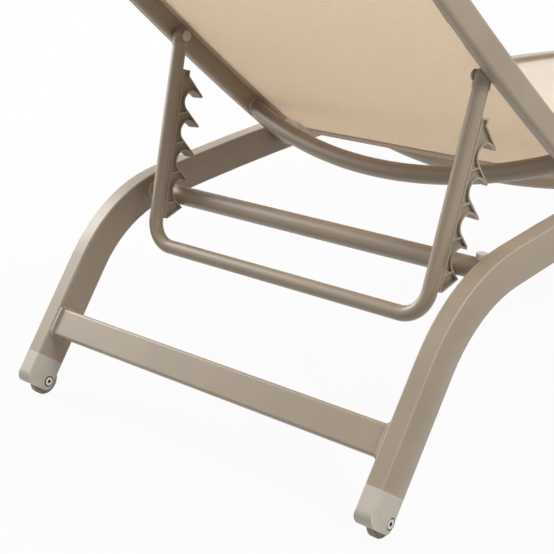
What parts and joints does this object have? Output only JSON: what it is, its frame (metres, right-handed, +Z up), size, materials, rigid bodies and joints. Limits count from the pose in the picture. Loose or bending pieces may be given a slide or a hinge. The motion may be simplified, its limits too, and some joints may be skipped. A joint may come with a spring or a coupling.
{
  "type": "sling sun lounger",
  "caption": "Reclining sling sun lounger: arched tubular side frames, hinged mesh backrest propped by a folding U frame with toothed racks, rollers at the head.",
  "frame": {"origin": "middle of the footprint box on the floor, backrest at its upright setting", "axes": "+X from the head to the foot, +Y to the sitter's left, +Z up"},
  "size_m": [1.8126, 0.647, 0.7745],
  "materials": {
    "painted_frame": "powder coated aluminium, satin taupe",
    "cap_plastic": "moulded plastic, pale taupe",
    "rack_plastic": "moulded plastic, satin taupe",
    "sling_mesh": "woven coated mesh, sand",
    "edge_beading": "extruded edge beading, sand",
    "hub_plastic": "moulded plastic, light grey",
    "tread_rubber": "rubber, taupe grey",
    "ring_plastic": "moulded plastic, dark",
    "steel": "zinc plated steel"
  },
  "bodies": {
    "frame": {"axle_rings": "ring_plastic", "axle_screws": "steel", "foot_cap_left": "cap_plastic", "foot_cap_right": "cap_plastic", "foot_crossbar": "painted_frame", "foot_pad_left": "tread_rubber", "foot_pad_right": "tread_rubber", "head_cap_left": "cap_plastic", "head_cap_right": "cap_plastic", "head_crossbar": "painted_frame", "hinge_bolts": "steel", "hinge_bushes": "cap_plastic", "rest_buttons": "cap_plastic", "seat_beading_left": "edge_beading", "seat_beading_right": "edge_beading", "seat_bow_foot": "painted_frame", "seat_bow_mid": "painted_frame", "seat_bow_rear": "painted_frame", "seat_sling": "sling_mesh", "side_frame_left": "painted_frame", "side_frame_right": "painted_frame", "stop_rod": "painted_frame"},
    "backrest": {"backrest_beading_left": "edge_beading", "backrest_beading_right": "edge_beading", "backrest_bow": "painted_frame", "backrest_rail_left": "painted_frame", "backrest_rail_right": "painted_frame", "backrest_sling": "sling_mesh", "backrest_top_tube": "painted_frame", "pivot_pins": "rack_plastic", "rail_plugs": "cap_plastic"},
    "prop": {"prop_frame": "painted_frame", "prop_sleeves": "rack_plastic", "rack_left": "rack_plastic", "rack_right": "rack_plastic", "rack_rivets": "steel"},
    "roller_left": {"roller_hub_left": "hub_plastic", "roller_tread_left": "tread_rubber"},
    "roller_right": {"roller_hub_right": "hub_plastic", "roller_tread_right": "tread_rubber"}
  },
  "joints": [
    {"name": "backrest_hinge", "type": "hinge", "parent": "frame", "child": "backrest", "pos_m": [-0.36065, 0, 0.3107], "axis": [0, -1, 0], "range_deg": [0, 39.5]},
    {"name": "prop_swing", "type": "hinge", "parent": "backrest", "child": "prop", "pos_m": [-0.60872, 0, 0.491], "axis": [0, 1, 0], "range_deg": [0, 113.47]},
    {"name": "roller_left_spin", "type": "hinge", "parent": "frame", "child": "roller_left", "pos_m": [-0.83945, 0.30775, 0.0205], "axis": [0, 1, 0], "continuous": true},
    {"name": "roller_right_spin", "type": "hinge", "parent": "frame", "child": "roller_right", "pos_m": [-0.83945, -0.30775, 0.0205], "axis": [0, 1, 0], "continuous": true}
  ],
  "couplings": [
    {"joint": "prop_swing", "follows": "backrest_hinge", "ratio": 2.87}
  ]
}
